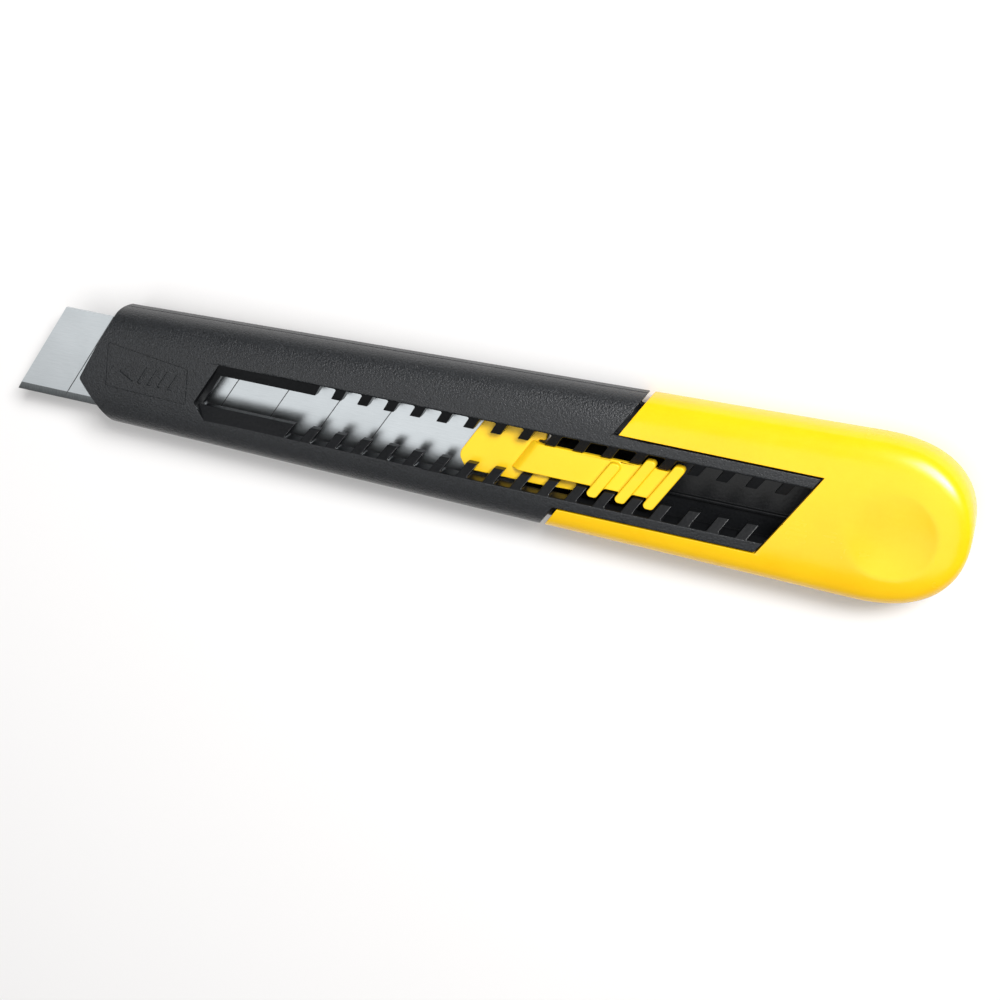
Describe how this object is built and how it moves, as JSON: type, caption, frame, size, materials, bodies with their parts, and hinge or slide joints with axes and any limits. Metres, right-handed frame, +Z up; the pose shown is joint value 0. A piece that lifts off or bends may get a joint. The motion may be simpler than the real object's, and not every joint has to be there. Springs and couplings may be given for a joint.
{
  "type": "utility knife",
  "caption": "Snap-off utility knife: two-shell handle with a toothed slot, a scored blade on a sprung thumb slider, and a pull-off rear cap.",
  "frame": {"origin": "on the ground under the middle of the whole knife, blade included, as it lies on its flat back", "axes": "+X forward to the blade's tip, +Y to the cutting edge, +Z up out of the face with the thumb slot"},
  "size_m": [0.1784, 0.0292, 0.0116],
  "materials": {
    "casing_black": "fine spark-textured black plastic with a low sheen",
    "cap_yellow": "smooth yellow plastic with a soft gloss",
    "slider_yellow": "smooth yellow plastic with a soft gloss",
    "blade_steel": "fine ground steel with a darker honed bevel"
  },
  "bodies": {
    "handle": {"front_casing": "casing_black", "back_casing": "casing_black"},
    "slider": {"slider_carriage": "slider_yellow", "blade": "blade_steel"},
    "tongue": {"thumb_tongue": "slider_yellow"},
    "cap": {"rear_cap": "cap_yellow"}
  },
  "joints": [
    {"name": "blade_slide", "type": "slide", "parent": "handle", "child": "slider", "axis": [1, 0, 0], "range_m": [-0.02, 0.05]},
    {"name": "tongue_press", "type": "hinge", "parent": "slider", "child": "tongue", "pos_m": [-0.0138, 0.00119, 0.00895], "axis": [0, -1, 0], "range_deg": [0, 10], "stiffness_Nm_per_rad": 0.3},
    {"name": "cap_pull", "type": "slide", "parent": "handle", "child": "cap", "axis": [-1, 0, 0], "range_m": [0, 0.055]}
  ]
}
